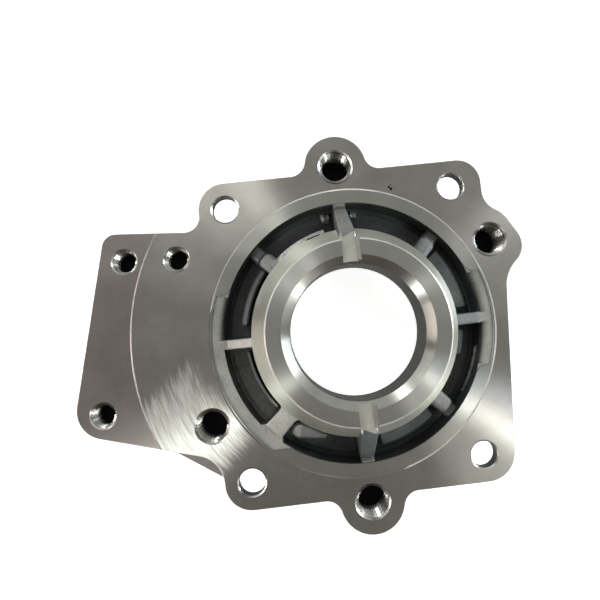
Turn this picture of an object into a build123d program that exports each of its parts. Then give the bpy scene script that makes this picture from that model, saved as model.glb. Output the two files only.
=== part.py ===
from build123d import *
import os
from math import cos, radians, sin, sqrt, tan

# Pump mounting flange: one grey iron casting, machined on its front. The bore axis is Z, the front
# faces +Z, the tab points to -X, and z = 0 is the machined back of the drum, on which it lies.

# Plate and drum
plate_thickness = 8.0
drum_depth = 22.0
drum_radius = 72.0
drum_back_chamfer = 1.5
drum_root_bevel = 3.0
edge_break = 0.4

# Corner bolt holes, in the plate's four corners
bolt_spacing_x = 115.0
bolt_spacing_y = 135.0
bolt_hole_radius = 6.5
bolt_hole_chamfer = 0.7
corner_radius = 13.5

# Outline of the right-hand side, which leans out towards the side boss
right_upper_x = 73.5
right_upper_radius = 12.0
right_lower_x = 72.0
right_lower_radius = 14.5
right_lean_angle = 4.8

# Large threaded holes: two on the Y axis, two across the bore on the same circle
stud_circle_radius = 83.5
side_stud_angle = 27.5
stud_radius = 8.0
stud_chamfer = 0.9
stud_thread_depth = 19.0
stud_lobe_radius = 16.0
stud_boss_radius = 14.0
stud_boss_back = 2.0
lobe_root_radius = 7.5

# Side lobe: a wide round and a tight round, drawn off the side hole's centre, and the roundings at its
# root, of which the upper takes up at most a share of the room under the plate's corner
side_wide_radius = 14.5
side_wide_offset = (-2.0, 2.5)
side_tight_radius = 11.5
side_tight_offset = (5.0, -3.5)
side_upper_root_radius = 11.0
side_lower_root_radius = 18.0
side_root_share = 0.7

# Tab: its outer corners, how far in from the plate's top and bottom edges it starts, the roundings at its
# root, of which the lower takes up at most a share of the edge under it, and three small threaded holes
tab_top_left = (-118.8, 61.4)
tab_bottom_left = (-141.7, -34.8)
tab_top_inset = 23.4
tab_bottom_inset = 25.7
tab_top_radius = 7.0
tab_bottom_radius = 14.0
tab_root_radius = 7.5
tab_bottom_root_radius = 14.5
tab_bottom_root_share = 1.2
tab_holes = [(-109.6, 46.4), (-83.9, 45.0), (-126.1, -27.5)]
tab_hole_radius = 6.0
tab_hole_chamfer = 0.7
tab_thread_depth = 15.0
tab_boss_radius = 10.5
tab_boss_back = 8.0

# Thin cast gusset that is left where the notch under the tab was milled out of the plate
gusset_left_x = -95.3
gusset_slope = 34.0
gusset_thickness = 4.0

# Fine V mark across the tab, where the facing tool was set down for its last cut
facing_mark_radius = 110.1
facing_mark_depth = 0.35

# Shallow turned recess round the pocket. It leaves two lower cast bands, right and left, between lands
# of the turned face whose corners are rounded, and each band rolls over into the pocket in a soft lip.
recess_width = 7.0
recess_depth = 0.6
band_depth = 1.6
band_rim = 0.6
band_right_half = 24.0
band_left_top = 24.8
band_left_bottom = -54.0
band_corner_radius = 7.0
right_lip = (-20.5, 20.5, 3.5)
left_lip = (159.0, 180.0, 2.5)

# Annular pocket
pocket_radius = 65.0
pocket_depth = 19.0
pocket_draft = 2.5
pocket_floor_bevel = 2.0

# Hub, which stands out of the pocket
hub_height = 30.0
hub_face_radius = 43.0
hub_base_radius = 50.2
hub_base_height = 9.5
hub_foot_spread = 1.8
hub_edge_break = 0.5
bore_radius = 31.5
bore_chamfer = 4.0
bore_land = 29.0
seat_radius = 40.0

# Two radial slots milled across the hub's face, each with a shallower shelf along its +X side:
# which way each runs from the bore, and how far the cutter stood off the axis
slots = [(1, 0.9), (-1, 0.1)]
slot_floor_width = 7.2
slot_shelf_width = 1.4
slot_depth = 3.0
slot_shelf_depth = 2.2
slot_end_radius = 45.6

# Ribs across the pocket, counted from +X. Each is its angle, its width at the hub and at the wall, how
# far its top stands over the plate at the hub and at the wall, how far short of the wall its nose drops
# off, if it has one, and the rounding of its top.
ribs = [
    (0.0, 5.6, 5.6, 8.5, -1.6, None, 1.0),
    (43.6, 8.6, 7.8, 8.0, 1.0, 5.5, 2.8),
    (90.0, 8.2, 6.4, 27.0, -3.0, None, 1.4),
    (135.0, 8.6, 7.8, 8.0, 1.0, 7.0, 2.8),
    (180.0, 4.8, 4.8, 8.5, -1.6, None, 1.0),
    (270.0, 8.6, 7.0, 27.0, -3.0, None, 1.4),
    (315.0, 8.4, 7.8, 8.0, 1.0, 5.0, 2.8),
]
rib_root_sink = 3.7
rib_root_run = 5.5
rib_tail = 4.0
nose_run = 2.0
nose_drop = 9.0
wall_foot = 2.2

# Broad web across the pocket, which flares into the hub and into the left band
web_angle = 225.0
web_hub_width = 9.0
web_wall_width = 10.5
web_hub_rise = 9.0
web_flare = 3.5
web_flare_room = 1.1
web_flare_sink = 0.3
web_rounding = 0.8

# Ledges cast on the pocket's floor: start and end angle, how far it starts and ends outside the hub's
# base radius, how far the top lies below the plate, and the rounding of its corners. The first two stand
# clear of the hub, with a groove behind them.
ledges = [
    (139.0, 171.0, 2.8, 6.1, 7.5, 1.5),
    (185.0, 219.0, 2.7, 4.2, 7.5, 0.65),
    (5.0, 38.0, -1.7, 11.3, 12.0, 2.0),
    (278.0, 309.0, -1.7, 10.8, 13.0, 2.0),
    (341.0, 355.0, -1.7, 8.3, 12.0, 1.5),
]
ledge_bevel_share = 0.6

# Drop-shaped lump beside the broad web: the angle of each end, how far outside the hub's base radius its
# centre lies and its radius, then how far the lump's top lies below the plate
lump_ends = [(235.5, 5.8, 3.8), (248.0, 3.6, 1.5)]
lump_drop = 5.0
lump_bevel = 1.1

# Rough rim that the mould left along the hub's lower edge, with an open seam behind it
rim_start = 101.0
rim_end = 136.0
rim_width = 2.0
rim_drop = 1.2
rim_depth = 4.0
seam_start = 104.0
seam_end = 112.0
seam_width = 0.8

# Pores that the facing cut opened beside the top hole: place and radius
pores = [(26.1, 70.5, 0.65), (27.0, 69.4, 0.75), (27.1, 71.7, 0.35)]
pore_depth = 0.7

# Worked out from the sizes above
back_of_plate = drum_depth
front = drum_depth + plate_thickness
hub_top = front + hub_height
pocket_floor = front - pocket_depth
half_x = bolt_spacing_x / 2
half_y = bolt_spacing_y / 2
left_x = -(half_x + corner_radius)
edge_y = half_y + corner_radius
tab_top_y = edge_y - tab_top_inset
tab_bottom_y = tab_bottom_inset - edge_y
side_x = stud_circle_radius * cos(radians(side_stud_angle))
side_y = stud_circle_radius * sin(radians(side_stud_angle))
bolt_holes = [(x, y) for x in (-half_x, half_x) for y in (-half_y, half_y)]
stud_holes = [(0, stud_circle_radius), (0, -stud_circle_radius), (side_x, side_y), (-side_x, -side_y)]
right_lean_x = right_lower_x + (edge_y + side_y) * tan(radians(right_lean_angle))
recess_radius = pocket_radius + recess_width
pocket_slope = tan(radians(pocket_draft))
rib_root_radius = hub_base_radius - rib_root_sink
overlap = 2.0
upright = 0.98
above = hub_top + overlap


def rounded(points, radii):
    """A filled polygon whose corners are rounded, each by its own radius, or left sharp by zero."""
    outline = make_face(Polyline(*points, close=True))
    for point, radius in zip(points, radii):
        if radius > 0:
            outline = fillet(outline.vertices().sort_by_distance((*point, 0))[:1], radius)
    return outline


def slab(outline, low, high):
    """A flat outline made solid between two heights."""
    return extrude(Pos(0, 0, low) * outline, high - low)


def turned(points, arc=360.0, start=0.0):
    """A profile of (radius, height) points turned round the bore axis."""
    profile = Plane.XZ * make_face(Polyline(*points, close=True))
    return Rot(0, 0, start) * revolve(profile, Axis.Z, arc)


def side_lobe():
    """The lobe round the side hole: the hull of a wide and a tight round."""
    wide_centre = (side_x + side_wide_offset[0], side_y + side_wide_offset[1])
    tight_centre = (side_x + side_tight_offset[0], side_y + side_tight_offset[1])
    wide = CenterArc(wide_centre, side_wide_radius, 0, 360)
    return make_hull([wide, CenterArc(tight_centre, side_tight_radius, 0, 360)])


def soften(outline, near, radius):
    """Rounds the inner corner of an outline that lies nearest to a point."""
    return fillet(outline.vertices().sort_by_distance((*near, 0))[:1], radius)


def plate_outline():
    """The plate seen from the front: a block with round corners, three lobes and the tab."""
    block = rounded(
        [(left_x, -edge_y), (right_lower_x, -edge_y), (right_lean_x, side_y), (right_upper_x, side_y),
         (right_upper_x, edge_y), (left_x, edge_y)],
        [corner_radius, right_lower_radius, 0, 0, right_upper_radius, corner_radius])
    tab = rounded(
        [(0, tab_bottom_y), (left_x, tab_bottom_y), tab_bottom_left, tab_top_left, (left_x, tab_top_y),
         (0, tab_top_y)],
        [0, 0, tab_bottom_radius, tab_top_radius, 0, 0])
    outline = block + tab + side_lobe()
    for x, y in stud_holes[:2]:
        outline += Pos(x, y) * Circle(stud_lobe_radius)
    lobe_x = sqrt(stud_lobe_radius**2 - (stud_circle_radius - edge_y)**2)
    for x in (-lobe_x, lobe_x):
        for y in (-edge_y, edge_y):
            outline = soften(outline, (x, y), lobe_root_radius)
    outline = soften(outline, (left_x, tab_top_y), tab_root_radius)
    bottom_room = tab_bottom_inset - corner_radius
    bottom_root_radius = min(tab_bottom_root_radius, bottom_room * tab_bottom_root_share)
    outline = soften(outline, (left_x, tab_bottom_y), bottom_root_radius)
    upper_room = edge_y - right_upper_radius - side_y - side_wide_radius
    upper_root_radius = min(side_upper_root_radius, upper_room * side_root_share)
    outline = soften(outline, (right_upper_x, side_y + side_wide_radius), upper_root_radius)
    return soften(outline, (right_lean_x, side_y - side_wide_radius), side_lower_root_radius)


def gusset():
    """The gusset behind the notch: its straight edge runs from the tab to the corner lobe."""
    slope = (tab_bottom_y - tab_bottom_left[1]) / (left_x - tab_bottom_left[0])
    start_y = tab_bottom_y + slope * (gusset_left_x - left_x)
    end_y = start_y - (left_x - gusset_left_x) * tan(radians(gusset_slope))
    inside = left_x + corner_radius
    points = [(gusset_left_x, start_y), (left_x, end_y), (inside, end_y), (inside, start_y)]
    return slab(make_face(Polyline(*points, close=True)), back_of_plate, back_of_plate + gusset_thickness)


def boss(place, radius, back):
    """A round cast boss behind a threaded hole."""
    return slab(Pos(*place) * Circle(radius), back, front - edge_break)


def drum():
    """The round body behind the plate, which spreads where it meets the plate."""
    root = drum_radius + drum_root_bevel
    return turned([(0, 0), (drum_radius - drum_back_chamfer, 0), (drum_radius, drum_back_chamfer),
                   (drum_radius, back_of_plate - drum_root_bevel), (root, back_of_plate),
                   (root, back_of_plate + overlap), (0, back_of_plate + overlap)])


def hub():
    """The tapered hub that stands out of the pocket."""
    foot = hub_base_radius + hub_foot_spread
    slope = (hub_base_radius - hub_face_radius) / (hub_height - hub_base_height)
    return turned([(0, 0), (foot, 0), (foot, pocket_floor), (hub_base_radius, front + hub_base_height),
                   (hub_face_radius + hub_edge_break * slope, hub_top - hub_edge_break),
                   (hub_face_radius - hub_edge_break, hub_top), (0, hub_top)])


def pocket():
    """The annular pocket, drafted outwards, with a bevel between its floor and its wall."""
    floor_radius = pocket_radius - pocket_depth * pocket_slope
    bevel_radius = floor_radius + pocket_floor_bevel * pocket_slope
    return turned([(hub_base_radius, pocket_floor), (floor_radius - pocket_floor_bevel, pocket_floor),
                   (bevel_radius, pocket_floor + pocket_floor_bevel),
                   (pocket_radius + overlap * pocket_slope, front + overlap),
                   (hub_face_radius, front + overlap)])


def wall_at(radius, half_width):
    """How far out a round wall lies, on a line that runs half_width beside its middle."""
    return sqrt(radius**2 - half_width**2)


def rib_top(hub_rise, wall_rise, nose):
    """The line along the top of a rib, from the hub to the wall, where a low rib turns up in a foot."""
    end = pocket_radius + rib_tail
    low = wall_rise
    points = [(rib_root_radius - rib_root_run, hub_rise), (rib_root_radius, hub_rise)]
    if nose:
        low = wall_rise - nose_drop
        points += [(pocket_radius - nose, wall_rise), (pocket_radius - nose + nose_run, low)]
    if low < -band_depth:
        points += [(pocket_radius - wall_foot, low), (pocket_radius, low + wall_foot)]
        points += [(end, low + wall_foot)]
    else:
        points += [(pocket_radius, low), (end, low)]
    return [(x, front + z) for x, z in points]


def is_shoulder(edge, inner, outer, half_width, nose=None):
    """True for the edges along both sides of a rib's top, and for the edge across its nose."""
    centre = edge.center()
    beside = abs(centre.Y) > half_width / 2 and abs(edge.tangent_at(0.5).Z) < upright
    across = nose and abs(centre.X - (pocket_radius - nose)) < nose_run / 2
    between = inner < centre.X < outer and centre.Z > pocket_floor
    return between and (beside or across)


def rib(angle, hub_width, wall_width, hub_rise, wall_rise, nose, rounding):
    """One rib from the hub to the pocket's outer wall. A rib with a nose drops off before the wall."""
    low = pocket_floor - overlap
    top = rib_top(hub_rise, wall_rise, nose)
    start, end = top[0][0], top[-1][0]
    side = Plane.XZ * make_face(Polyline((start, low), *top, (end, low), close=True))
    plan = make_face(Polyline((start, -hub_width / 2), (end, -wall_width / 2), (end, wall_width / 2),
                              (start, hub_width / 2), close=True))
    body = extrude(side, hub_width, both=True) & slab(plan, low, above)
    shoulders = [edge for edge in body.edges() if is_shoulder(edge, start, end, wall_width / 2, nose)]
    return Rot(0, 0, angle) * fillet(shoulders, rounding)


def broad_web():
    """The broad web, tapered in plan and filleted into the hub and the pocket's wall."""
    low = pocket_floor - overlap
    start = rib_root_radius - rib_root_run
    end = pocket_radius + rib_tail
    fall = (web_hub_rise + band_depth) / (pocket_radius - rib_root_radius)
    hub_half = web_hub_width / 2
    wall_half = web_wall_width / 2
    hub_wide = hub_half + web_flare * web_flare_room
    wall_wide = wall_half + web_flare * web_flare_room
    hub_x = wall_at(hub_base_radius, hub_wide) - web_flare_sink
    wall_x = wall_at(pocket_radius, wall_wide) + web_flare_sink
    half = [(start, hub_wide), (hub_x, hub_wide), (hub_x, hub_half), (wall_x, wall_half),
            (wall_x, wall_wide), (end, wall_wide)]
    plan = make_face(Polyline(*half, *[(x, -y) for x, y in reversed(half)], close=True))
    for x, y in half[2:4]:
        plan = soften(soften(plan, (x, y), web_flare), (x, -y), web_flare)
    top = front + web_hub_rise
    side = make_face(Polyline((start, low), (start, top), (rib_root_radius, top),
                              (end, top - fall * (end - rib_root_radius)), (end, low), close=True))
    body = extrude(Plane.XZ * side, web_wall_width + web_flare * 2, both=True) & slab(plan, low, above)
    shoulders = [edge for edge in body.edges() if is_shoulder(edge, hub_x, wall_x, hub_half)]
    return Rot(0, 0, web_angle) * fillet(shoulders, web_rounding)


def polar(radius, angle):
    """A point of the XY plane at a radius and an angle in degrees."""
    return (radius * cos(radians(angle)), radius * sin(radians(angle)))


def ledge(start, end, inner, outer, drop, rounding):
    """A cast ledge on the pocket's floor, a piece of a ring with round corners and bevelled edges."""
    reach = pocket_radius * 2
    wedge = make_face(Polyline((0, 0), polar(reach, start), polar(reach, (start + end) / 2),
                               polar(reach, end), close=True))
    plan = (Circle(hub_base_radius + outer) - Circle(hub_base_radius + inner)) & wedge
    body = slab(fillet(plan.vertices(), rounding), pocket_floor - overlap, front - drop)
    return chamfer(body.edges().group_by(Axis.Z)[-1], rounding * ledge_bevel_share)


def lump():
    """The drop-shaped lump on the pocket's floor: the hull of a wide and a tight round."""
    rounds = [CenterArc(polar(hub_base_radius + out, angle), radius, 0, 360)
              for angle, out, radius in lump_ends]
    body = slab(make_hull(rounds), pocket_floor - overlap, front - lump_drop)
    return chamfer(body.edges().group_by(Axis.Z)[-1], lump_bevel)


def cast_rim():
    """The rough rim along part of the hub's lower edge."""
    high = front + hub_base_height - rim_drop
    inner = hub_base_radius - overlap
    outer = hub_base_radius + rim_width
    return turned([(inner, high - rim_depth), (outer, high - rim_depth), (outer, high - rim_drop),
                   (hub_base_radius, high), (inner, high)], rim_end - rim_start, rim_start)


def seam():
    """The open seam between the rim and the hub."""
    high = front + hub_base_height
    inner = hub_base_radius - seam_width / 2
    outer = hub_base_radius + seam_width / 2
    return turned([(inner, high - rim_depth), (outer, high - rim_depth), (outer, high + overlap),
                   (inner, high + overlap)], seam_end - seam_start, seam_start)


def facing_mark():
    """The fine V mark that the facing tool left across the tab."""
    depth = facing_mark_depth
    return turned([(facing_mark_radius - depth * 2, front + depth), (facing_mark_radius, front - depth),
                   (facing_mark_radius + depth * 2, front + depth)])


def recess():
    """The shallow turned recess round the pocket, with a bevelled rim."""
    low = front - recess_depth
    inner = pocket_radius - overlap
    return turned([(inner, low), (recess_radius - recess_depth, low), (recess_radius, front),
                   (recess_radius + overlap, front + overlap), (inner, front + overlap)])


def bands():
    """The lower cast bands left and right of the pocket, between lands with rounded corners."""
    outer = recess_radius - recess_depth - band_rim
    left_middle = (band_left_top + band_left_bottom) / 2
    lands = Circle(outer) - Circle(pocket_radius)
    lands -= Pos(outer, 0) * Rectangle(outer * 2, band_right_half * 2)
    lands -= Pos(-outer, left_middle) * Rectangle(outer * 2, band_left_top - band_left_bottom)
    for y in (band_right_half, -band_right_half):
        lands = soften(lands, (wall_at(pocket_radius, y), y), band_corner_radius)
    lands = soften(lands, (-wall_at(pocket_radius, band_left_top), band_left_top), band_corner_radius)
    both = Circle(outer) - Circle(pocket_radius - overlap) - lands
    return slab(both, front - band_depth, front + overlap)


def band_lip(start, end, radius):
    """What a soft lip takes off the edge between a cast band and the pocket's wall."""
    high = front - band_depth
    inner = pocket_radius - radius * pocket_slope
    arc = RadiusArc((inner, high - radius), (inner + radius, high), radius)
    rest = Polyline(
        (inner + radius, high), (inner + radius, high + overlap), (inner - overlap, high + overlap),
        (inner - overlap, high - radius), (inner, high - radius))
    return Rot(0, 0, start) * revolve(Plane.XZ * make_face([arc, rest]), Axis.Z, end - start)


def bore():
    """The bore with its front chamfer, and the wider seat turned from the back."""
    shoulder = hub_top - bore_land
    return turned([(0, -overlap), (seat_radius, -overlap), (seat_radius, shoulder), (bore_radius, shoulder),
                   (bore_radius, hub_top - bore_chamfer), (bore_radius + bore_chamfer, hub_top),
                   (bore_radius + bore_chamfer + overlap, above), (0, above)])


def drilled(place, radius, chamfer_size, depth):
    """A hole drilled from the front to a depth, with a chamfered mouth."""
    mouth = radius + chamfer_size
    return Pos(*place, front) * turned([(0, -depth), (radius, -depth), (radius, -chamfer_size), (mouth, 0),
                                        (mouth + overlap, overlap), (0, overlap)])


def hub_slot(way, offset):
    """A radial slot milled across the hub's face, with its shelf."""
    reach = slot_end_radius - bore_radius / 2
    middle = way * (bore_radius + reach) / 2
    left = offset - (slot_floor_width + slot_shelf_width) / 2
    floor = Pos(left + slot_floor_width / 2, middle) * Rectangle(slot_floor_width, reach)
    shelf = Pos(left + slot_floor_width + slot_shelf_width / 2, middle) * Rectangle(slot_shelf_width, reach)
    return slab(floor, hub_top - slot_depth, above) + slab(shelf, hub_top - slot_shelf_depth, above)


def casting():
    """The whole flange as one solid."""
    outline = plate_outline()
    plate = slab(outline, back_of_plate, front)
    plate = chamfer(plate.faces().sort_by(Axis.Z)[-1].edges(), edge_break) - facing_mark()
    behind = drum()
    for place in stud_holes:
        behind += boss(place, stud_boss_radius, stud_boss_back)
    for place in tab_holes:
        behind += boss(place, tab_boss_radius, tab_boss_back)
    behind &= slab(outline, 0, front - edge_break)
    body = plate + behind + gusset()
    body = body - pocket() + hub()
    body -= band_lip(*right_lip)
    body -= band_lip(*left_lip)
    for values in ribs:
        body += rib(*values)
    body += broad_web()
    for values in ledges:
        body += ledge(*values)
    body += lump()
    body += cast_rim()
    body -= seam()
    body -= recess()
    body -= bands()
    body -= bore()
    for values in slots:
        body -= hub_slot(*values)
    for place in bolt_holes:
        body -= drilled(place, bolt_hole_radius, bolt_hole_chamfer, front + overlap)
    for place in stud_holes:
        body -= drilled(place, stud_radius, stud_chamfer, stud_thread_depth)
    for place in tab_holes:
        body -= drilled(place, tab_hole_radius, tab_hole_chamfer, tab_thread_depth)
    for x, y, radius in pores:
        body -= slab(Pos(x, y) * Circle(radius), front - pore_depth, above)
    return body


os.makedirs("parts", exist_ok=True)
flange_casting = casting()
export_step(flange_casting, "parts/flange_casting.step")
print("solids", len(flange_casting.solids()), "volume", round(flange_casting.volume))
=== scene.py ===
import math

import bmesh
import bpy
from mathutils import Matrix, Vector, noise as lumps

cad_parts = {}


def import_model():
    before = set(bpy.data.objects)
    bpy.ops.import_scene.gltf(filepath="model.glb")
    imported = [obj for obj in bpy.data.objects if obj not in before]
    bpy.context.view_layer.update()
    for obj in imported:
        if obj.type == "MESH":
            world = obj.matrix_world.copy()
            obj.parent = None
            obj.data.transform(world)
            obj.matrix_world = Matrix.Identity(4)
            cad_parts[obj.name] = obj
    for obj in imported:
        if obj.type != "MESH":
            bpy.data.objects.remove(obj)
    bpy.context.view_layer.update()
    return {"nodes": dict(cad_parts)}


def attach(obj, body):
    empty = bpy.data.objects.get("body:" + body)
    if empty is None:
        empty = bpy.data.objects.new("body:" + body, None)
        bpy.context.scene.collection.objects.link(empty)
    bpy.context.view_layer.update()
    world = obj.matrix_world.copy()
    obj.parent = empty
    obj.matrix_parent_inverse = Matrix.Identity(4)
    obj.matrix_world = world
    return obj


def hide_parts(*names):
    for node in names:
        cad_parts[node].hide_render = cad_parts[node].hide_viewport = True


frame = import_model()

# Pump mounting flange: a grey iron casting with a turned front. Everything is in metres, with the bore
# axis on Z, the front facing +Z and the floor at z = 0. MM turns a size in millimetres to metres.
MM = 0.001

# Heights of the casting's level faces, in millimetres
HUB_TOP = 60.0
SEAM_FLOOR = 35.5
FRONT = 30.0
LAND = 29.4
BAND = 28.4
NOTCH = 26.0
POCKET_FLOOR = 11.0

# Heights that a finish starts above: the hub's broken edge, the slots' floors, the bore's chamfer, the
# taper, the tops of the ribs and of the ledges. Then the height that the seat from the back ends below.
HUB_EDGE = 59.4
SLOT_FLOORS = 56.5
CHAMFER_FOOT = 55.0
HUB_FOOT = 33.5
RIB_TOPS = 22.2
LEDGES = 12.6
SEAT_END = 32.0

# Radii that a finish starts or ends at, in millimetres
BORE_RADIUS = 31.5
CHAMFER_RADIUS = 35.5
SEAT_RADIUS = 40.0
SLOT_RADIUS = 45.0
HUB_BASE_RADIUS = 50.2
RIM_RADIUS = 52.3
POCKET_RADIUS = 65.0
RECESS_RADIUS = 72.0
FACING_MARK_RADIUS = 110.1

# Depths of the hole mouths and of the broken edges under the front, and the seam's half width
MOUTH_DEPTH = 0.9
EDGE_DEPTH = 0.5
SEAM_REACH = 0.55

# Where a finish starts and ends round the bore, in degrees from +X towards +Y
RIM_ANGLES = (101.0, 130.5)
SEAM_ANGLES = (103.5, 112.5)
SMOOTH_EDGE_ANGLES = (165.0, 285.0)
PALE_FLOOR_ANGLES = (183.0, 222.0)
LEFT_RIB_ANGLES = (175.0, 185.0)
WEB_ANGLES = (213.0, 237.0)
BOTTOM_RIB_ANGLES = (262.0, 278.0)

# How far a facet's middle may lie from a flat face, and from a curved one that its chord cuts across
FLUSH = 0.05
NEAR = 0.3

# The Z of a facet's normal: at least this on a level face, on a cast top, on a slope and on the plate's
# broken edge, and at most this on a wall
LEVEL = 0.99
TOP = 0.6
SLOPE = 0.4
BROKEN_EDGE = 0.2
WALL = 0.35

# The part of a facet's normal that points away from the bore: at least this on the taper, and at most
# this, either way, on the sides of a slot
FACES_OUT = 0.5
SLOT_SIDE = 0.8

# Centres of the threaded holes, the clear holes and the pores. Then how far out from each centre its
# mouth reaches, and the threads: radius, pitch and depth.
STUD_HOLES = [(0.0, 83.5), (0.0, -83.5), (74.066, 38.556), (-74.066, -38.556)]
TAB_HOLES = [(-109.6, 46.4), (-83.9, 45.0), (-126.1, -27.5)]
BOLT_HOLES = [(x, y) for x in (-57.5, 57.5) for y in (-67.5, 67.5)]
PORES = [(26.1, 70.5), (27.0, 69.4), (27.1, 71.7)]
MOUTH_REACHES = [(STUD_HOLES, 9.2), (TAB_HOLES, 7.0), (BOLT_HOLES, 7.5), (PORES, 0.9)]
STUD_THREAD = (8.0, 2.0, 18.0)
TAB_THREAD = (6.0, 1.75, 13.5)

# The ridge of a thread, in shares of its pitch: how tall it is, half its width at the root and at the
# crest, and how far the first turn lies below the front. Its root is sunk this far into the wall.
THREAD_HEIGHT = 0.54
THREAD_ROOT = 0.44
THREAD_CREST = 0.06
THREAD_START = 0.8
THREAD_SUNK = 0.02
STEPS_PER_TURN = 28

# The rough ridges in the pocket: how far apart their lumps are, and the lumps' share of their height
LUMP_SPACING = 2.2
LUMP_SHARE = 0.7

# The pale patch beside the left stud hole, partly real scuff marks and partly a painted highlight where
# a broad fan falls: for each of its three straight edges a point on it and the direction into the patch.
# Then how far the streaks fray those edges, how deep inside them the pale streaks start and are full, the
# patch's roughness, and the radius that its streaks' length is true at.
SCUFF_AND_HIGHLIGHT_EDGES = [
    ((-82.3, -3.7), (0.61, -0.79)),
    ((-82.3, -3.7), (-0.82, -0.58)),
    ((-57.0, -51.5), (-0.65, 0.76)),
]
SCUFF_AND_HIGHLIGHT_FRAY = 14.0
SCUFF_AND_HIGHLIGHT_DEPTHS = (6.0, 17.0)
SCUFF_ROUGHNESS = 0.5
SCUFF_RADIUS = 90.0

# Facets that meet at less than this many degrees are shaded as one smooth surface
SMOOTH_ANGLE = 24

# The side that the room's soft light comes from: above the picture and to the right
BRIGHT_SIDE = (0.44, 0.75, 0.49)

# How strongly the floor shows white, and half its width in metres
FLOOR_GLOW = 0.85
FLOOR_REACH = 6.0

# The camera: its turn about X, Y and Z in degrees, where it stands before the turn, in millimetres from
# the bore at the plate's front, and its sensor, lens and shift
CAMERA_TURN = (-4.607, 2.014, 6.123)
CAMERA_PLACE = (-15.97, 30.916, 323.954)
CAMERA_SENSOR = 36.0
CAMERA_LENS = 39.0
CAMERA_SHIFT = (-0.0361, -0.0516)


def linear(code, alpha=1.0):
    """An sRGB hex colour as the linear values that a shader takes."""
    shares = [int(code[i:i + 2], 16) / 255 for i in (1, 3, 5)]
    return (*[s / 12.92 if s <= 0.04045 else ((s + 0.055) / 1.055) ** 2.4 for s in shares], alpha)


def add(tree, kind, settings=None, inputs=None):
    """Adds one node, with its settings, and with its inputs set or linked."""
    made = tree.nodes.new(kind)
    for name, value in (settings or {}).items():
        setattr(made, name, value)
    for place, value in (inputs or {}).items():
        if isinstance(value, bpy.types.NodeSocket):
            tree.links.new(value, made.inputs[place])
        else:
            made.inputs[place].default_value = value
    return made


def new_material(name):
    """An empty material with its shader and its output joined, and the point on the casting."""
    material = bpy.data.materials.new(name)
    material.use_nodes = True
    tree = material.node_tree
    tree.nodes.clear()
    shader = add(tree, "ShaderNodeBsdfPrincipled")
    add(tree, "ShaderNodeOutputMaterial", None, {"Surface": shader.outputs[0]})
    point = add(tree, "ShaderNodeTexCoord").outputs["Object"]
    return material, tree, shader, point


def off_axis(tree, point):
    """The way from the bore axis out to the point, as long as the radius it was turned at."""
    return add(tree, "ShaderNodeVectorMath", {"operation": "MULTIPLY"}, {0: point, 1: (1, 1, 0)}).outputs[0]


def turning_radius(tree, point):
    """How far the point lies from the bore axis, in metres."""
    out = off_axis(tree, point)
    return add(tree, "ShaderNodeVectorMath", {"operation": "LENGTH"}, {0: out}).outputs["Value"]


def blotches(tree, point, spacing, detail, rough):
    """Cloudy noise whose blotches are about so many millimetres across."""
    return add(tree, "ShaderNodeTexNoise", None, {
        "Vector": point, "Scale": 1 / (spacing * MM), "Detail": detail, "Roughness": rough}).outputs[0]


def rings(tree, radius, spacing, seed=0.0):
    """Noise that changes only with the radius: one turned groove lighter, the next darker."""
    scaled = add(tree, "ShaderNodeMath", {"operation": "MULTIPLY_ADD"},
                 {0: radius, 1: 1 / (spacing * MM), 2: seed}).outputs[0]
    return add(tree, "ShaderNodeTexNoise", {"noise_dimensions": "1D"},
               {"W": scaled, "Scale": 1.0, "Detail": 2.0, "Roughness": 0.6}).outputs[0]


def streaks(tree, point, width, length):
    """Noise drawn out along the turning, in streaks of so many millimetres."""
    turned = add(tree, "ShaderNodeVectorMath", {"operation": "SCALE"}, {0: point, "Scale": -1.0}).outputs[0]
    parts = add(tree, "ShaderNodeSeparateXYZ", None, {0: turned}).outputs
    angle = add(tree, "ShaderNodeMath", {"operation": "ARCTAN2"}, {0: parts[1], 1: parts[0]}).outputs[0]
    across = add(tree, "ShaderNodeMath", {"operation": "DIVIDE"},
                 {0: turning_radius(tree, point), 1: width * MM}).outputs[0]
    along = add(tree, "ShaderNodeMath", {"operation": "MULTIPLY"},
                {0: angle, 1: SCUFF_RADIUS / length}).outputs[0]
    flat = add(tree, "ShaderNodeCombineXYZ", None, {0: across, 1: along}).outputs[0]
    return add(tree, "ShaderNodeTexNoise", None,
               {"Vector": flat, "Scale": 1.0, "Detail": 3.0, "Roughness": 0.6}).outputs[0]


def scuff_and_highlight_share(tree, point, streak):
    """How much of the pale patch, partly scuff marks and partly painted highlight, covers the point: none
    outside the patch's straight edges, which the streaks fray.
    """
    inside = 1.0
    for start, way in SCUFF_AND_HIGHLIGHT_EDGES:
        past = add(tree, "ShaderNodeVectorMath", {"operation": "SUBTRACT"},
                   {0: point, 1: (start[0] * MM, start[1] * MM, 0)}).outputs[0]
        depth = add(tree, "ShaderNodeVectorMath", {"operation": "DOT_PRODUCT"},
                    {0: past, 1: (*way, 0)}).outputs["Value"]
        inside = add(tree, "ShaderNodeMath", {"operation": "MINIMUM"}, {0: depth, 1: inside}).outputs[0]
    frayed = add(tree, "ShaderNodeMath", {"operation": "MULTIPLY_ADD"},
                 {0: streak, 1: SCUFF_AND_HIGHLIGHT_FRAY * MM, 2: inside}).outputs[0]
    first, full = SCUFF_AND_HIGHLIGHT_DEPTHS
    return add(tree, "ShaderNodeMapRange", {"interpolation_type": "SMOOTHSTEP"},
               {0: frayed, 1: first * MM, 2: full * MM, 3: 0.0, 4: 1.0}).outputs[0]


def spread(tree, share, low, high):
    """A value that follows noise, whose middle part is spread between two limits."""
    return add(tree, "ShaderNodeMapRange", None, {0: share, 1: 0.3, 2: 0.7, 3: low, 4: high}).outputs[0]


def blend(tree, share, low, high):
    """A colour between two hex colours."""
    return add(tree, "ShaderNodeMix", {"data_type": "RGBA"},
               {0: share, 6: linear(low), 7: linear(high)}).outputs[2]


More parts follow.
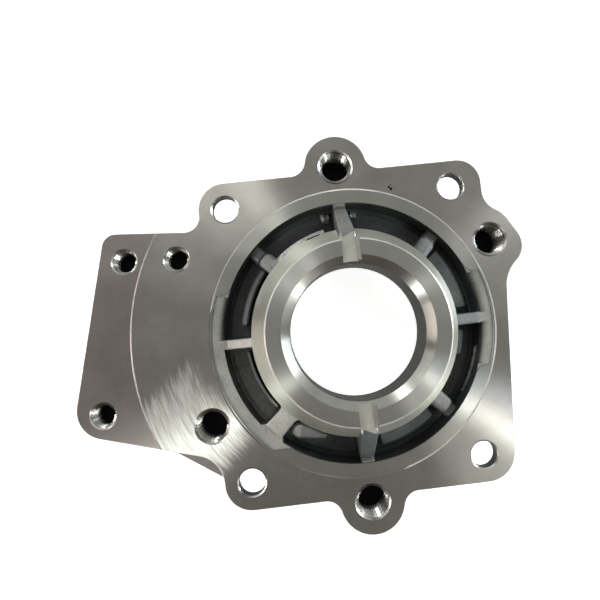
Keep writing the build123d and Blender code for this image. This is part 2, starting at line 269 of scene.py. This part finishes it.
def turned_iron(name, dark, light, roughness, groove, anisotropy=0.97, scuff_and_highlight_patch=False):
    """Turned grey iron: its fine round grooves stretch each highlight across them, so every lamp draws
    a bright fan that runs from the axis outwards. Real grooves are a fifth of a millimetre apart, too
    fine to show, so they are drawn about a millimetre apart. A face with the pale patch has pale
    streaks there, partly real scuff marks and partly a painted highlight where a broad fan falls."""
    material, tree, shader, point = new_material(name)
    radius = turning_radius(tree, point)
    # The shade follows clouds as wide as a thumb, with a little of each groove's own
    cloud = spread(tree, blotches(tree, point, 26.0, 5.0, 0.62), -0.1, 1.1)
    ring = rings(tree, radius, groove)
    fine = rings(tree, radius, groove * 0.35, 7.0)
    shade = add(tree, "ShaderNodeMath", {"operation": "MULTIPLY_ADD"},
                {0: spread(tree, ring, -0.5, 0.5), 1: 0.15, 2: cloud}).outputs[0]
    colour = blend(tree, shade, dark, light)
    matt = spread(tree, fine, roughness * 0.92, roughness * 1.08)
    if scuff_and_highlight_patch:
        streak = streaks(tree, point, 1.1, 14.0)
        scuff_and_highlight = scuff_and_highlight_share(tree, point, streak)
        # Pale streaks, partly real scuff marks and partly a painted highlight of the broad fan
        pale = blend(tree, spread(tree, streak, 0.0, 1.0), "#9a9b94", "#d0d1ca")
        colour = add(tree, "ShaderNodeMix", {"data_type": "RGBA"}, {0: scuff_and_highlight, 6: colour, 7: pale}).outputs[2]
        matt = add(tree, "ShaderNodeMapRange", None, {0: scuff_and_highlight, 3: matt, 4: SCUFF_ROUGHNESS}).outputs[0]
    normal = add(tree, "ShaderNodeBump", None, {"Height": ring, "Distance": groove * 0.0009 * MM})
    tree.links.new(colour, shader.inputs["Base Color"])
    tree.links.new(matt, shader.inputs["Roughness"])
    tree.links.new(normal.outputs[0], shader.inputs["Normal"])
    tree.links.new(off_axis(tree, point), shader.inputs["Tangent"])
    shader.inputs["Metallic"].default_value = 1.0
    shader.inputs["Anisotropic"].default_value = anisotropy
    return material


def cast_iron(name, dark, light, roughness, grain, depth, metallic=0.6, gloss=0.5):
    """Sand cast grey iron: matte, with the grain of the sand in its skin. Real sand is a third of a
    millimetre across, too fine to show, so its grain is drawn three to five times as coarse. Plain cut
    edges and bores have the same make-up with hardly any depth of grain."""
    material, tree, shader, point = new_material(name)
    # The shade follows clouds fourteen grains wide, with half as much of each grain's own
    grit = blotches(tree, point, grain, 4.0, 0.6)
    cloud = blotches(tree, point, grain * 14, 2.0, 0.55)
    shade = add(tree, "ShaderNodeMath", {"operation": "MULTIPLY_ADD"},
                {0: spread(tree, grit, -0.5, 0.5), 1: 0.5, 2: spread(tree, cloud, 0.0, 1.0)}).outputs[0]
    normal = add(tree, "ShaderNodeBump", None, {"Height": grit, "Distance": depth * MM})
    tree.links.new(blend(tree, shade, dark, light), shader.inputs["Base Color"])
    tree.links.new(spread(tree, grit, roughness * 1.15, roughness * 0.85), shader.inputs["Roughness"])
    tree.links.new(normal.outputs[0], shader.inputs["Normal"])
    shader.inputs["Metallic"].default_value = metallic
    shader.inputs["Specular IOR Level"].default_value = gloss
    return material


def within(angle, span):
    """True where an angle lies between the two of a span."""
    return span[0] < angle < span[1]


def hole_zone(x, y, z, level):
    """Which finish a facet in or round a hole has, or none away from the holes."""
    if not NEAR < z < FRONT - FLUSH:
        return None
    for holes, reach in MOUTH_REACHES:
        if any(math.hypot(x - hole[0], y - hole[1]) < reach for hole in holes):
            return "hole_mouth" if z > FRONT - MOUTH_DEPTH and not level else "drilled_wall"
    return None


def hub_zone(z, radius, outward, up, level):
    """Which finish a facet of the hub has, or none off the hub."""
    if radius < SEAT_RADIUS + NEAR and z < SEAT_END:
        return "turned_back"
    if radius < BORE_RADIUS + NEAR and abs(up) < WALL:
        return "bore_wall"
    if radius < CHAMFER_RADIUS and SLOPE < up < LEVEL and z > CHAMFER_FOOT:
        return "bore_chamfer"
    if z > HUB_TOP - FLUSH and level:
        return "hub_face"
    if z > HUB_EDGE and outward > FACES_OUT and up > SLOPE:
        return "sharp_edge"
    if z > SLOT_FLOORS and radius < SLOT_RADIUS and (level or abs(outward) < SLOT_SIDE):
        return "slot_floor"
    if z > HUB_FOOT and outward > FACES_OUT and radius < HUB_BASE_RADIUS + NEAR:
        return "hub_taper"
    return None


def front_zone(z, radius, angle, up, level):
    """Which finish a facet of the plate's front or of the recess in it has, or none elsewhere."""
    if z > FRONT - FLUSH and level and radius > POCKET_RADIUS:
        return "turned_face" if radius < FACING_MARK_RADIUS else "tab_face"
    if z > FRONT - EDGE_DEPTH and abs(radius - FACING_MARK_RADIUS) < EDGE_DEPTH and not level:
        return "facing_mark"
    if z > FRONT - EDGE_DEPTH and BROKEN_EDGE < up < LEVEL and radius > RECESS_RADIUS:
        return "sharp_edge"
    if not POCKET_RADIUS - 2 < radius < RECESS_RADIUS + 0.1 or z < BAND - 2:
        return None
    if abs(z - LAND) < FLUSH and level:
        return "turned_land"
    if z > BAND + FLUSH and radius > POCKET_RADIUS + 0.5 and not level:
        # Outside the smooth band the recess edge takes a painted highlight
        return "cast_band" if within(angle, SMOOTH_EDGE_ANGLES) else "recess_edge_highlight"
    return "cast_band" if up > TOP else None


def pocket_zone(z, angle, up):
    """Which finish a facet in the pocket has: one cast skin in grades of painted light and shade, lighter
    on rib tops, ledges and one floor patch where light falls, darker on the bottom rib, and darkest on the
    walls and deep floor, which are partly their own dark skin.
    """
    if z > RIB_TOPS and up > WALL:
        # The bottom rib's top is painted darker, as shade
        if within(angle, BOTTOM_RIB_ANGLES):
            return "shaded_bottom_rib"
        return "web_top" if within(angle, WEB_ANGLES) or within(angle, LEFT_RIB_ANGLES) else "lit_rib_top"
    if up < WALL:
        return "pocket_skin_and_shade"
    if z > LEDGES:
        return "lit_pocket_ledge"
    return "lit_pocket_floor" if within(angle, PALE_FLOOR_ANGLES) else "pocket_skin_and_shade"


def zone(centre, normal):
    """Which finish a facet of the casting has, from where it is and which way it faces."""
    x, y, z = centre / MM
    radius = math.hypot(x, y)
    angle = math.degrees(math.atan2(y, x)) % 360
    outward = (normal.x * x + normal.y * y) / max(radius, 1e-6)
    up = normal.z
    level = up > LEVEL
    if z < NEAR:
        return "turned_back"
    # The seam is a narrow crack, painted with the pocket's dark skin and painted shade
    in_seam = within(angle, SEAM_ANGLES) and abs(radius - HUB_BASE_RADIUS) < SEAM_REACH
    if in_seam and (not level or z < SEAM_FLOOR + NEAR):
        return "pocket_skin_and_shade"
    known = hole_zone(x, y, z, level) or hub_zone(z, radius, outward, up, level)
    known = known or front_zone(z, radius, angle, up, level)
    if known:
        return known
    if within(angle, RIM_ANGLES) and radius < RIM_RADIUS and z > HUB_FOOT:
        return "rough_rim"
    if radius < POCKET_RADIUS + 1 and z > POCKET_FLOOR - 0.1:
        return pocket_zone(z, angle, up)
    return "milled_notch" if abs(z - NOTCH) < 0.1 and level else "cast_skin"


# Turned and faced metal, which shines in fans: its name, dark and light colour, roughness and the spacing
# of its grooves in millimetres. Where they aren't the usual ones, its anisotropy and whether it has the
# pale patch of scuff marks and painted highlight.
TURNED = {
    "turned_face": ("turned grey iron face", "#7b7a74", "#898881", 0.3, 1.2, 0.97, True),
    "tab_face": ("turned grey iron tab", "#76726d", "#84807b", 0.33, 1.2, 0.88),
    "turned_land": ("turned grey iron land", "#83847d", "#8e8f88", 0.31, 1.0),
    "hub_face": ("turned hub face", "#858680", "#90918a", 0.3, 0.9),
    "hub_taper": ("matte turned taper", "#7f8178", "#92948a", 0.53, 0.8, 0.96),
    "bore_chamfer": ("turned bore chamfer", "#969790", "#abaca4", 0.34, 0.8),
    "turned_back": ("turned back face", "#6f6f69", "#85857e", 0.42, 1.2),
}

# The rest: name, dark and light colour, roughness, size and depth of the grain in millimetres, and then
# how metallic and how glossy it is. First come holes and bores, painted dark as shade where little light
# gets in, and slots, then thin bright cut edges, two with a painted highlight, and then the cast skins,
# from pale on the bands to the pocket, whose skin is partly its own dark colour and partly painted shade.
CAST = {
    # Bore and drilled walls are painted dark as shade, where little light gets in
    "bore_wall": ("bored grey iron painted in shade", "#25261f", "#2f3027", 0.6, 0.8, 0.01, 0.0, 0.15),
    "drilled_wall": ("drilled wall painted dark in shade", "#0d0e11", "#1a1b1d", 0.6, 0.8, 0.02, 0.0, 0.1),
    "hole_mouth": ("countersunk hole mouth", "#8f908a", "#b2b3ad", 0.3, 0.6, 0.02, 1.0),
    "slot_floor": ("milled slot floor", "#8f9087", "#a0a198", 0.45, 0.7, 0.01, 1.0),
    "milled_notch": ("milled notch", "#6d6864", "#827e79", 0.4, 1.0, 0.02, 1.0),
    # Painted near white as a highlight along the recess bevel
    "recess_edge_highlight": ("turned recess edge with painted highlight", "#c0c0ba", "#dcdcd6", 0.4, 0.8, 0.01, 0.35),
    "sharp_edge": ("bright turned edge", "#8a8b85", "#a8a9a3", 0.35, 0.8, 0.01, 0.5),
    # The facing mark is a small step, painted pale along its edge as a highlight
    "facing_mark": ("facing mark with painted highlight", "#7d7874", "#c6bfbb", 0.4, 3.0, 0.02, 0.2),
    "cast_band": ("pale cast band", "#797a74", "#8e8f88", 0.6, 1.0, 0.05, 1.0),
    "web_top": ("pale cast web", "#7e7f79", "#999a93", 0.6, 1.2, 0.08, 0.8),
    # Rib tops are painted lighter than the pocket walls, as light that falls on them
    "lit_rib_top": ("cast rib top painted lighter where light falls", "#4a4c4a", "#656764", 0.6, 1.6, 0.1, 0.25, 0.4),
    # The bottom rib is the rib top's skin painted darker, as shade
    "shaded_bottom_rib": ("cast rib painted in shade", "#363b3a", "#4c5150", 0.6, 1.6, 0.1, 0.25, 0.3),
    "rough_rim": ("rough cast rim", "#2f302c", "#9b9c96", 0.5, 1.3, 0.6, 0.3),
    # Ledges that face up are painted lighter than the pocket walls, as light that falls on them
    "lit_pocket_ledge": ("cast pocket ledge painted lighter where light falls", "#404543", "#5a5f5d", 0.5, 1.6, 0.12, 0.4),
    # The pocket's walls and deep floor: partly their own dark cast skin, partly painted shade
    "pocket_skin_and_shade": ("dark cast pocket skin and painted shade", "#2b2e2d", "#464a49", 0.55, 1.6, 0.12, 0.3),
    # A floor patch painted paler, as light that falls into the pocket there
    "lit_pocket_floor": ("pocket floor painted paler where light falls", "#4a4c48", "#74756e", 0.55, 1.6, 0.12, 0.3),
    "cast_skin": ("cast iron skin", "#5d5d58", "#74746e", 0.6, 1.4, 0.12, 0.7),
}


def put(name, shape, materials):
    """The finished shape as an object of its own, with its materials."""
    mesh = bpy.data.meshes.new(name)
    shape.to_mesh(mesh)
    shape.free()
    for material in materials:
        mesh.materials.append(material)
    made = bpy.data.objects.new(name, mesh)
    bpy.context.scene.collection.objects.link(made)
    return made


def casting_surface():
    """The casting as one closed mesh, each facet with the finish of its place."""
    shape = bmesh.new()
    shape.from_mesh(frame["nodes"]["flange_casting"].data)
    bmesh.ops.remove_doubles(shape, verts=shape.verts, dist=1e-6)
    names = [*TURNED, *CAST]
    for face in shape.faces:
        face.smooth = True
        face.material_index = names.index(zone(face.calc_center_median(), face.normal))
    for edge in shape.edges:
        edge.smooth = len(edge.link_faces) == 2 and edge.calc_face_angle() < math.radians(SMOOTH_ANGLE)
    materials = [turned_iron(*row) for row in TURNED.values()] + [cast_iron(*row) for row in CAST.values()]
    piece = put("finished_casting", shape, materials)
    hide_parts("flange_casting")
    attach(piece, "root")


def thread(name, place, size, material):
    """The ridge of a cut thread: a pointed profile taken round the hole and down by its pitch."""
    radius, pitch, length = size
    root = radius + THREAD_SUNK
    crest = radius - THREAD_HEIGHT * pitch
    shape = bmesh.new()
    profile = [(root, -THREAD_ROOT), (crest, -THREAD_CREST), (crest, THREAD_CREST), (root, THREAD_ROOT)]
    points = [shape.verts.new((r * MM, 0, step * pitch * MM)) for r, step in profile]
    edges = [shape.edges.new(pair) for pair in zip(points, points[1:])]
    turns = int(length / pitch)
    steps = STEPS_PER_TURN * turns
    bmesh.ops.spin(shape, geom=points + edges, cent=(0, 0, 0), axis=(0, 0, 1), angle=-math.tau * turns,
                   steps=steps, dvec=(0, 0, -turns * pitch * MM / steps), use_merge=False)
    bmesh.ops.recalc_face_normals(shape, faces=shape.faces)
    bmesh.ops.translate(shape, verts=shape.verts,
                        vec=Vector((*place, FRONT - THREAD_START * pitch)) * MM)
    piece = put(name, shape, [material])
    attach(piece, "root")


def threads():
    """The threads in the four large and the three small holes, cut clean, so they glint."""
    cut = cast_iron("cut thread", "#5c5d59", "#9c9d97", 0.26, 1.0, 0.01, 1.0)
    for index, place in enumerate(STUD_HOLES):
        thread(f"stud_thread_{index + 1}", place, STUD_THREAD, cut)
    for index, place in enumerate(TAB_HOLES):
        thread(f"tab_thread_{index + 1}", place, TAB_THREAD, cut)


def scab(name, radius, start, end, width, height, bottom, material):
    """A lumpy ridge that the mould left in the pocket: an oval profile taken along an arc, partly sunk in
    the casting, with its skin pushed in and out."""
    shape = bmesh.new()
    bmesh.ops.create_circle(shape, segments=12, radius=width / 2 * MM)
    bmesh.ops.scale(shape, verts=shape.verts, vec=(1, height * 2 / width, 1))
    bmesh.ops.rotate(shape, verts=shape.verts, cent=(0, 0, 0), matrix=Matrix.Rotation(math.pi / 2, 3, "X"))
    bmesh.ops.translate(shape, verts=shape.verts, vec=(radius * MM, 0, bottom * MM))
    bmesh.ops.rotate(shape, verts=shape.verts, cent=(0, 0, 0),
                     matrix=Matrix.Rotation(math.radians(start), 3, "Z"))
    bmesh.ops.spin(shape, geom=shape.verts[:] + shape.edges[:], cent=(0, 0, 0), axis=(0, 0, 1),
                   angle=math.radians(end - start), steps=36, use_merge=False)
    bmesh.ops.holes_fill(shape, edges=[edge for edge in shape.edges if edge.is_boundary])
    bmesh.ops.recalc_face_normals(shape, faces=shape.faces)
    shape.normal_update()
    for vert in shape.verts:
        vert.co += vert.normal * lumps.noise(vert.co / (LUMP_SPACING * MM)) * height * LUMP_SHARE * MM
    for face in shape.faces:
        face.smooth = True
    piece = put(name, shape, [material])
    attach(piece, "root")


def scabs():
    """The rough spots that the photograph shows in the pocket, on its floor and beside the top rib."""
    pale = cast_iron("pale rough scab", "#4c4e4d", "#c0c2be", 0.4, 1.0, 0.2, 0.4)
    scab("scab_left_of_top_rib", 60.8, 94.8, 99.0, 5.0, 1.6, POCKET_FLOOR + 0.6, pale)
    scab("scab_right_of_top_rib", 61.2, 81.0, 84.0, 4.0, 1.4, POCKET_FLOOR + 0.6, pale)
    dull = cast_iron("dull flow line", "#3c3e3d", "#7c7f7c", 0.5, 1.0, 0.2, 0.4)
    scab("flow_line_right", 64.2, -35.0, -13.0, 1.8, 1.2, POCKET_FLOOR + 9.0, dull)


def floor():
    """A plain pale floor that shows white, and keeps the part's shadow."""
    material = bpy.data.materials.new("plain floor")
    material.use_nodes = True
    tree = material.node_tree
    tree.nodes.clear()
    path = add(tree, "ShaderNodeLightPath").outputs
    seen = path["Is Camera Ray"]
    for ray in ("Is Glossy Ray", "Is Transmission Ray"):
        seen = add(tree, "ShaderNodeMath", {"operation": "MAXIMUM"}, {0: seen, 1: path[ray]}).outputs[0]
    glow = add(tree, "ShaderNodeMath", {"operation": "MULTIPLY"}, {0: seen, 1: FLOOR_GLOW}).outputs[0]
    matte = add(tree, "ShaderNodeBsdfDiffuse", None, {"Color": linear("#e6e6e6")})
    bright = add(tree, "ShaderNodeEmission", None, {"Color": linear("#ffffff"), "Strength": glow})
    both = add(tree, "ShaderNodeAddShader", None, {0: matte.outputs[0], 1: bright.outputs[0]})
    add(tree, "ShaderNodeOutputMaterial", None, {"Surface": both.outputs[0]})
    shape = bmesh.new()
    bmesh.ops.create_grid(shape, x_segments=1, y_segments=1, size=FLOOR_REACH)
    plane = put("floor", shape, [material])


# The soft lamps, all as far from the hub: name, compass direction and height in degrees, width and
# height in metres, power in watts, and colour where it isn't white. Strips draw the narrow bright fans,
# skirts and glows the soft ones beside them, and low lamps light the chamfer, the taper and the edges.
LAMP_DISTANCE = 0.9
LAMPS = [
    ("right_strip", 323.5, 41, 0.07, 0.3, 2.9),
    ("right_glow", 332, 50, 0.08, 0.3, 0.6, "#e2eaff"),
    ("right_low", 321, 15, 0.07, 0.2, 1.0),
    ("right_skirt", 311, 44, 0.2, 0.3, 0.8),
    ("right_edge", 338, 5, 0.25, 0.1, 0.5),
    ("left_strip", 214.5, 38, 0.08, 0.3, 3.8),
    ("left_panel", 213, 60, 0.14, 0.16, 0.35),
    ("left_low", 184, 7, 0.5, 0.12, 4.6, "#f6eae6"),
    ("left_low_above", 146, 6, 0.45, 0.12, 2.0),
    ("top_strip", 115, 38, 0.12, 0.3, 2.6),
    ("top_skirt", 127, 52, 0.18, 0.24, 0.7),
    ("tab_glow", 156, 62, 0.12, 0.12, 0.04),
    ("window", 11, 8, 0.42, 0.18, 7.0, "#eaf2ff"),
    ("window_high", 27, 40, 0.12, 0.3, 0.6),
]


def lamp(name, azimuth, elevation, width, height, power, colour="#ffffff"):
    """A soft rectangular lamp that looks at the hub from a compass direction and a height."""
    light = bpy.data.lights.new(name, "AREA")
    light.shape = "RECTANGLE"
    light.size = width
    light.size_y = height
    light.energy = power
    light.color = linear(colour)[:3]
    obj = bpy.data.objects.new(name, light)
    flat = math.cos(math.radians(elevation)) * LAMP_DISTANCE
    obj.location = (flat * math.cos(math.radians(azimuth)), flat * math.sin(math.radians(azimuth)),
                    math.sin(math.radians(elevation)) * LAMP_DISTANCE)
    obj.rotation_euler = (-obj.location).to_track_quat("-Z", "Y").to_euler()
    bpy.context.scene.collection.objects.link(obj)


def world():
    """Soft light from all round, a little warmer and dimmer from below the picture, which the camera
    sees as white."""
    room = bpy.data.worlds.new("studio")
    room.use_nodes = True
    tree = room.node_tree
    tree.nodes.clear()
    path = add(tree, "ShaderNodeLightPath").outputs
    way = add(tree, "ShaderNodeTexCoord").outputs["Generated"]
    towards = add(tree, "ShaderNodeVectorMath", {"operation": "DOT_PRODUCT"},
                  {0: way, 1: BRIGHT_SIDE}).outputs["Value"]
    share = add(tree, "ShaderNodeMapRange", None, {0: towards, 1: 0.0, 2: 0.76, 3: 0.0, 4: 1.0}).outputs[0]
    colour = blend(tree, share, "#786863", "#ffffff")
    seen = add(tree, "ShaderNodeMix", {"data_type": "RGBA"},
               {0: path["Is Camera Ray"], 6: colour, 7: linear("#ffffff")}).outputs[2]
    light = add(tree, "ShaderNodeBackground", None, {"Color": seen, "Strength": 1.0})
    add(tree, "ShaderNodeOutputWorld", None, {"Surface": light.outputs[0]})
    bpy.context.scene.world = room


def camera():
    """The camera where the photograph was taken: close, and almost straight in front of the bore."""
    about_x, about_y, about_z = (Matrix.Rotation(math.radians(turn), 3, axis)
                                 for turn, axis in zip(CAMERA_TURN, "XYZ"))
    upright = (about_y @ about_x @ about_z).transposed()
    place = upright @ Vector(CAMERA_PLACE) + Vector((0, 0, FRONT))
    view = bpy.data.cameras.new("camera")
    view.sensor_width = CAMERA_SENSOR
    view.lens = CAMERA_LENS
    view.shift_x, view.shift_y = CAMERA_SHIFT
    obj = bpy.data.objects.new("camera", view)
    obj.matrix_world = Matrix.LocRotScale(place * MM, upright.to_quaternion(), None)
    bpy.context.scene.collection.objects.link(obj)
    bpy.context.scene.camera = obj


camera()
casting_surface()
threads()
scabs()
floor()
for row in LAMPS:
    lamp(*row)
world()
bpy.context.scene.view_settings.view_transform = "Standard"
